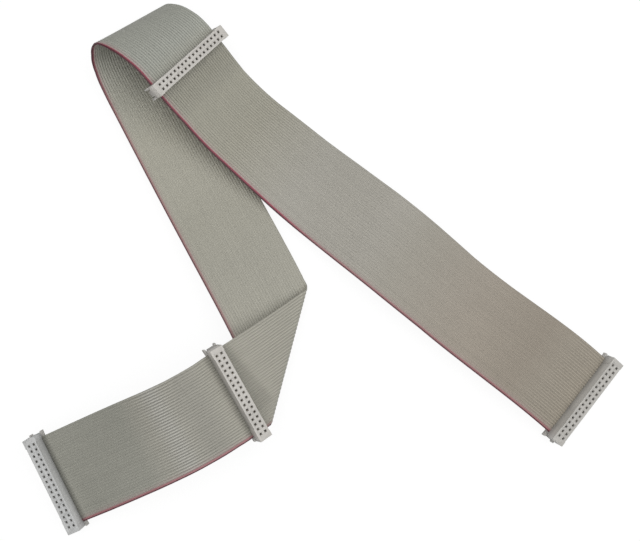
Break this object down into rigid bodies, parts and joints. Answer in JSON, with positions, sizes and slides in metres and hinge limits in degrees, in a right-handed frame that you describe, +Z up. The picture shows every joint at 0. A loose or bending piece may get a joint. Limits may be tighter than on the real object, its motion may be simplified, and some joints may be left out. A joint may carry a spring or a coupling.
{
  "type": "ribbon cable",
  "caption": "Flat grey ribbon cable with a red edge and crimped two-row sockets at both ends and along its length, folded and looped loose on a table.",
  "frame": {"origin": "middle of the cable's outline on the surface it lies on", "axes": "+X from the first socket's end towards the last socket, +Y towards the rolled-over loop, +Z up, the way the sockets' mating faces look"},
  "size_m": [0.2732, 0.2516, 0.0358],
  "materials": {
    "ribbon_vinyl": "satin ribbed vinyl, grey, with one red edge conductor",
    "socket_plastic": "satin light grey moulding",
    "cover_plastic": "satin light grey moulding",
    "contact_metal": "plated spring sheet"
  },
  "bodies": {
    "root": {"ribbon": "ribbon_vinyl", "socket_a_body": "socket_plastic", "socket_a_cover": "cover_plastic", "socket_a_contacts": "contact_metal", "socket_b_body": "socket_plastic", "socket_b_cover": "cover_plastic", "socket_b_contacts": "contact_metal", "socket_c_body": "socket_plastic", "socket_c_cover": "cover_plastic", "socket_c_contacts": "contact_metal", "socket_d_body": "socket_plastic", "socket_d_cover": "cover_plastic", "socket_d_contacts": "contact_metal"}
  },
  "joints": []
}
